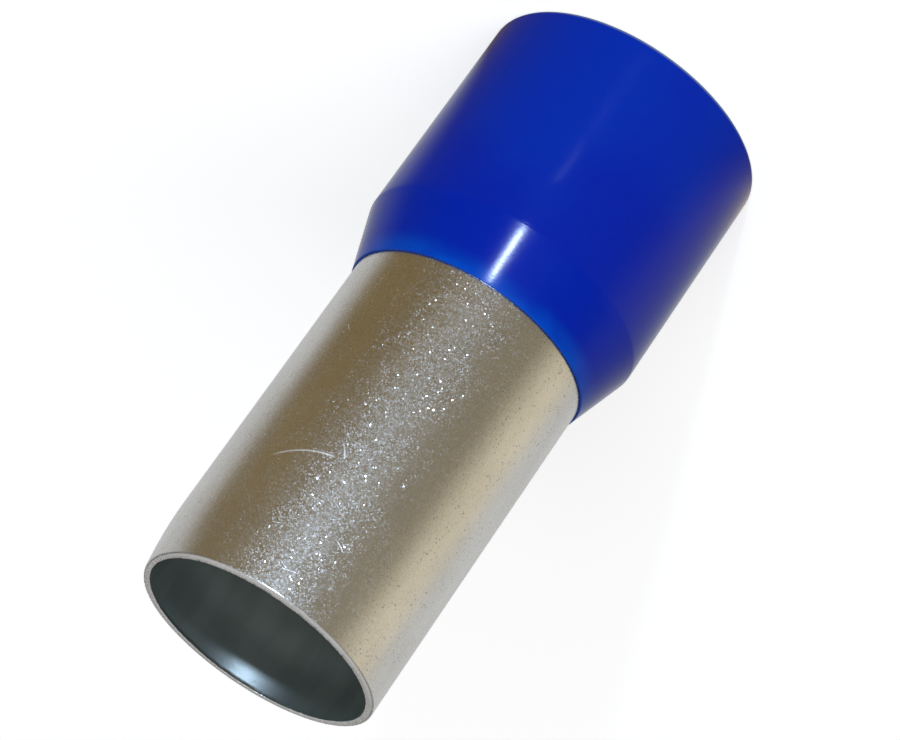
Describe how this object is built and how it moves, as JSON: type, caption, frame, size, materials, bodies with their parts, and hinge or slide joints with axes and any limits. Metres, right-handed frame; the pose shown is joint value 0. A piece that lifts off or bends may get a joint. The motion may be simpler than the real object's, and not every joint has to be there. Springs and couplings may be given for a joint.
{
  "type": "wire ferrule",
  "caption": "Insulated wire-end ferrule: a thin tinned tube, crimped over bare strands, in a tapered plastic collar that takes the wire's insulation.",
  "frame": {"origin": "centre of the collar's rear rim, on the surface that the ferrule stands on", "axes": "+Z along the tube's axis, from the collar's rear rim towards the tube's mouth; X and Y lie in the rim's plane, and the part is round about Z"},
  "size_m": [0.0218, 0.0218, 0.049],
  "materials": {
    "tinned_copper": "satin tin plating on drawn copper",
    "collar_plastic": "glossy moulded polypropylene, deep blue"
  },
  "bodies": {
    "root": {"crimp_tube": "tinned_copper", "insulating_collar": "collar_plastic"}
  },
  "joints": []
}
